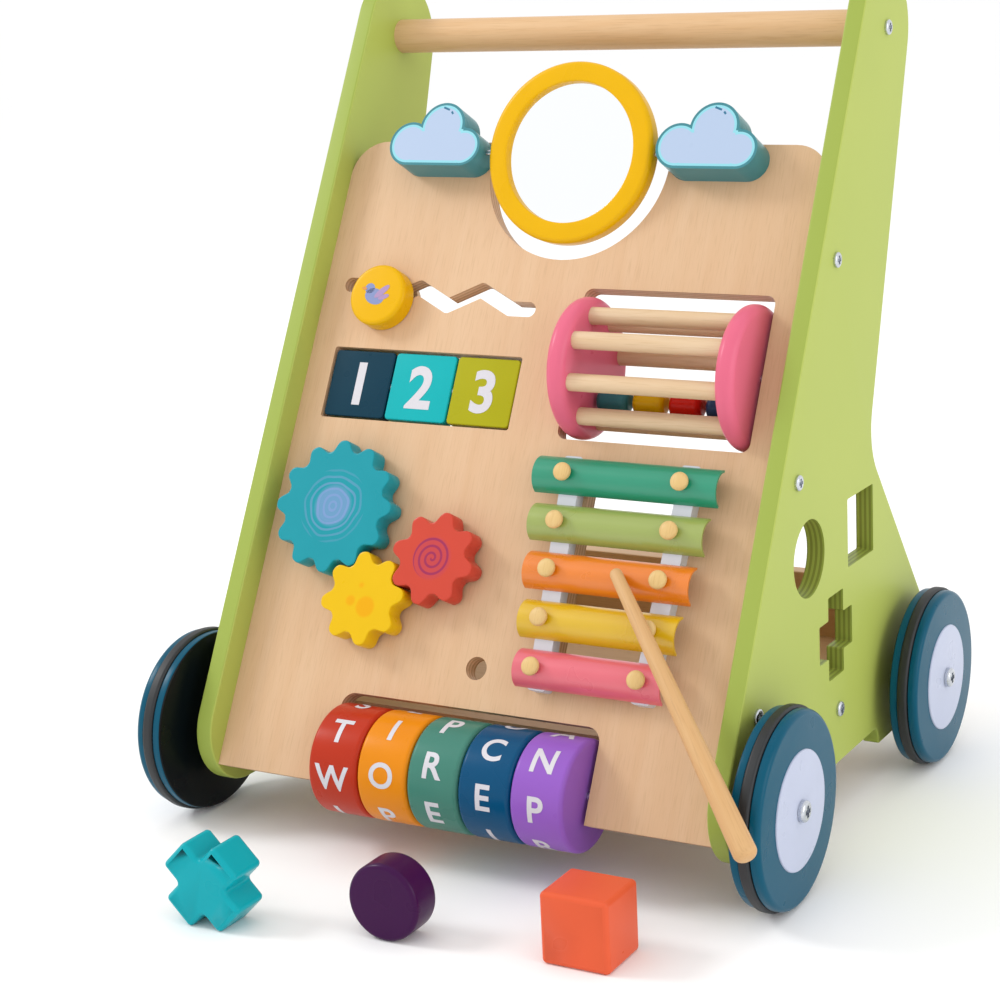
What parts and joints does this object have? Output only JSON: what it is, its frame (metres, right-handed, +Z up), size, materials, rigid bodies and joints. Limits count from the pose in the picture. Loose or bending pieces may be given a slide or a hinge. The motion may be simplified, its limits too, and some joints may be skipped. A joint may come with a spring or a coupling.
{
  "type": "baby walker",
  "caption": "Wooden push walker with a leaning activity board, shape sorter side, bin, push handle, free wheels, and loose sorter blocks and beater.",
  "frame": {"origin": "on the floor, midway between the two side panels and between the axles, under the base board", "axes": "+Z up; the activity board faces -Y and leans back; +X is to the right of someone facing the board"},
  "size_m": [0.3835, 0.4058, 0.4564],
  "materials": {
    "green_paint": "satin paint on plywood",
    "birch_ply": "clear lacquered birch plywood",
    "turned_beech": "smooth clear lacquered hardwood",
    "plated_steel": "bright plated steel",
    "cloud_paint": "gloss enamel with a printed face",
    "yellow_paint": "gloss enamel",
    "mirror_film": "silvered acrylic",
    "plain_wood": "bare turned wood",
    "navy_paint": "gloss enamel",
    "turquoise_paint": "gloss enamel",
    "lime_paint": "gloss enamel",
    "red_paint": "gloss enamel",
    "pink_paint": "gloss enamel",
    "bead_paint": "gloss enamel, one colour for each bead",
    "orange_paint": "gloss enamel",
    "grey_green_paint": "gloss enamel",
    "blue_paint": "gloss enamel",
    "purple_paint": "gloss enamel",
    "plum_paint": "gloss enamel",
    "white_rail": "white enamel",
    "green_metal": "baked enamel",
    "olive_metal": "baked enamel",
    "orange_metal": "baked enamel",
    "yellow_metal": "baked enamel",
    "pink_metal": "baked enamel",
    "wheel_paint": "gloss enamel",
    "black_rubber": "matte rubber",
    "hub_white": "matte white"
  },
  "bodies": {
    "frame": {"side_panel_left": "green_paint", "side_panel_right": "green_paint", "activity_board": "birch_ply", "base_board": "birch_ply", "back_board": "birch_ply", "push_handle": "turned_beech", "panel_screws": "plated_steel", "handle_screws": "plated_steel", "cloud_left": "cloud_paint", "cloud_right": "cloud_paint", "mirror_wires": "plated_steel", "tile_rod": "plated_steel", "roller_rod": "plated_steel", "xylophone_rails": "white_rail", "bar_green": "green_metal", "bar_olive": "olive_metal", "bar_orange": "orange_metal", "bar_yellow": "yellow_metal", "bar_pink": "pink_metal", "xylophone_pegs": "plain_wood", "wheel_bolts": "plated_steel", "wheel_spacers": "plated_steel", "rattle_pins": "plated_steel", "gear_pins": "plain_wood"},
    "wheel_front_left_body": {"wheel_front_left": "wheel_paint", "tyre_front_left": "black_rubber", "hub_disc_front_left": "hub_white"},
    "wheel_front_right_body": {"wheel_front_right": "wheel_paint", "tyre_front_right": "black_rubber", "hub_disc_front_right": "hub_white"},
    "wheel_rear_left_body": {"wheel_rear_left": "wheel_paint", "tyre_rear_left": "black_rubber", "hub_disc_rear_left": "hub_white"},
    "wheel_rear_right_body": {"wheel_rear_right": "wheel_paint", "tyre_rear_right": "black_rubber", "hub_disc_rear_right": "hub_white"},
    "mirror": {"mirror_ring": "yellow_paint", "mirror_glass": "mirror_film"},
    "slider_carrier": {"slider_retainer": "plain_wood"},
    "slider": {"slider_knob": "yellow_paint"},
    "tile_1": {"number_tile_1": "navy_paint"},
    "tile_2": {"number_tile_2": "turquoise_paint"},
    "tile_3": {"number_tile_3": "lime_paint"},
    "gear_teal_body": {"gear_teal": "turquoise_paint"},
    "gear_yellow_body": {"gear_yellow": "yellow_paint"},
    "gear_red_body": {"gear_red": "red_paint"},
    "rattle": {"rattle_disc_left": "pink_paint", "rattle_disc_right": "pink_paint", "rattle_dowels": "turned_beech"},
    "beads": {"rattle_beads": "bead_paint"},
    "roller_red_body": {"roller_red": "red_paint"},
    "roller_orange_body": {"roller_orange": "orange_paint"},
    "roller_green_body": {"roller_green": "grey_green_paint"},
    "roller_blue_body": {"roller_blue": "blue_paint"},
    "roller_purple_body": {"roller_purple": "purple_paint"},
    "beater_body": {"beater": "turned_beech"},
    "block_cross_body": {"block_cross": "turquoise_paint"},
    "block_cylinder_body": {"block_cylinder": "plum_paint"},
    "block_cube_body": {"block_cube": "orange_paint"}
  },
  "joints": [
    {"name": "front_left_wheel_spin", "type": "hinge", "parent": "frame", "child": "wheel_front_left_body", "pos_m": [-0.1778, -0.1311, 0.0514], "axis": [1, 0, 0], "continuous": true},
    {"name": "front_right_wheel_spin", "type": "hinge", "parent": "frame", "child": "wheel_front_right_body", "pos_m": [0.1778, -0.1311, 0.0514], "axis": [1, 0, 0], "continuous": true},
    {"name": "rear_left_wheel_spin", "type": "hinge", "parent": "frame", "child": "wheel_rear_left_body", "pos_m": [-0.1778, 0.0864, 0.0514], "axis": [1, 0, 0], "continuous": true},
    {"name": "rear_right_wheel_spin", "type": "hinge", "parent": "frame", "child": "wheel_rear_right_body", "pos_m": [0.1778, 0.0864, 0.0514], "axis": [1, 0, 0], "continuous": true},
    {"name": "mirror_spin", "type": "hinge", "parent": "frame", "child": "mirror", "pos_m": [0, 0.00234, 0.35847], "axis": [1, 0, 0], "continuous": true},
    {"name": "slider_slide", "type": "slide", "parent": "frame", "child": "slider_carrier", "axis": [1, 0, 0], "range_m": [-0.022, 0.084]},
    {"name": "slider_wave", "type": "hinge", "parent": "slider_carrier", "child": "slider", "pos_m": [-0.1067, -0.02864, 0.28041], "axis": [0, -0.8846, 0.4664], "range_deg": [-194, 739]},
    {"name": "tile_1_spin", "type": "hinge", "parent": "frame", "child": "tile_1", "pos_m": [-0.1131, -0.04907, 0.23093], "axis": [1, 0, 0], "continuous": true},
    {"name": "tile_2_spin", "type": "hinge", "parent": "frame", "child": "tile_2", "pos_m": [-0.0724, -0.04907, 0.23093], "axis": [1, 0, 0], "continuous": true},
    {"name": "tile_3_spin", "type": "hinge", "parent": "frame", "child": "tile_3", "pos_m": [-0.0317, -0.04907, 0.23093], "axis": [1, 0, 0], "continuous": true},
    {"name": "gear_teal_spin", "type": "hinge", "parent": "frame", "child": "gear_teal_body", "pos_m": [-0.10248, -0.09011, 0.16854], "axis": [0, -0.8846, 0.4664], "continuous": true},
    {"name": "gear_yellow_spin", "type": "hinge", "parent": "frame", "child": "gear_yellow_body", "pos_m": [-0.0714, -0.11295, 0.12522], "axis": [0, -0.8846, 0.4664], "continuous": true},
    {"name": "gear_red_spin", "type": "hinge", "parent": "frame", "child": "gear_red_body", "pos_m": [-0.0328, -0.10094, 0.14799], "axis": [0, -0.8846, 0.4664], "continuous": true},
    {"name": "rattle_spin", "type": "hinge", "parent": "frame", "child": "rattle", "pos_m": [0.0762, -0.04063, 0.24694], "axis": [1, 0, 0], "continuous": true},
    {"name": "beads_swing", "type": "hinge", "parent": "frame", "child": "beads", "pos_m": [0.0762, -0.04063, 0.24694], "axis": [1, 0, 0], "range_deg": [-40, 40]},
    {"name": "roller_red_spin", "type": "hinge", "parent": "frame", "child": "roller_red_body", "pos_m": [-0.0614, -0.14575, 0.04756], "axis": [1, 0, 0], "continuous": true},
    {"name": "roller_orange_spin", "type": "hinge", "parent": "frame", "child": "roller_orange_body", "pos_m": [-0.0307, -0.14575, 0.04756], "axis": [1, 0, 0], "continuous": true},
    {"name": "roller_green_spin", "type": "hinge", "parent": "frame", "child": "roller_green_body", "pos_m": [0, -0.14575, 0.04756], "axis": [1, 0, 0], "continuous": true},
    {"name": "roller_blue_spin", "type": "hinge", "parent": "frame", "child": "roller_blue_body", "pos_m": [0.0307, -0.14575, 0.04756], "axis": [1, 0, 0], "continuous": true},
    {"name": "roller_purple_spin", "type": "hinge", "parent": "frame", "child": "roller_purple_body", "pos_m": [0.0614, -0.14575, 0.04756], "axis": [1, 0, 0], "continuous": true},
    {"name": "beater_lift", "type": "slide", "parent": "frame", "child": "beater_body", "axis": [0, -0.8846, 0.4664], "range_m": [0, 0.12]},
    {"name": "block_cross_lift", "type": "slide", "parent": "frame", "child": "block_cross_body", "axis": [0, 0, 1], "range_m": [0, 0.08]},
    {"name": "block_cylinder_lift", "type": "slide", "parent": "frame", "child": "block_cylinder_body", "axis": [0, 0, 1], "range_m": [0, 0.08]},
    {"name": "block_cube_lift", "type": "slide", "parent": "frame", "child": "block_cube_body", "axis": [0, 0, 1], "range_m": [0, 0.08]}
  ],
  "couplings": [
    {"joint": "gear_yellow_spin", "follows": "gear_teal_spin", "ratio": -1.5},
    {"joint": "gear_red_spin", "follows": "gear_teal_spin", "ratio": 1.5},
    {"joint": "slider_wave", "follows": "slider_slide", "rad_per_m": 153.25}
  ]
}
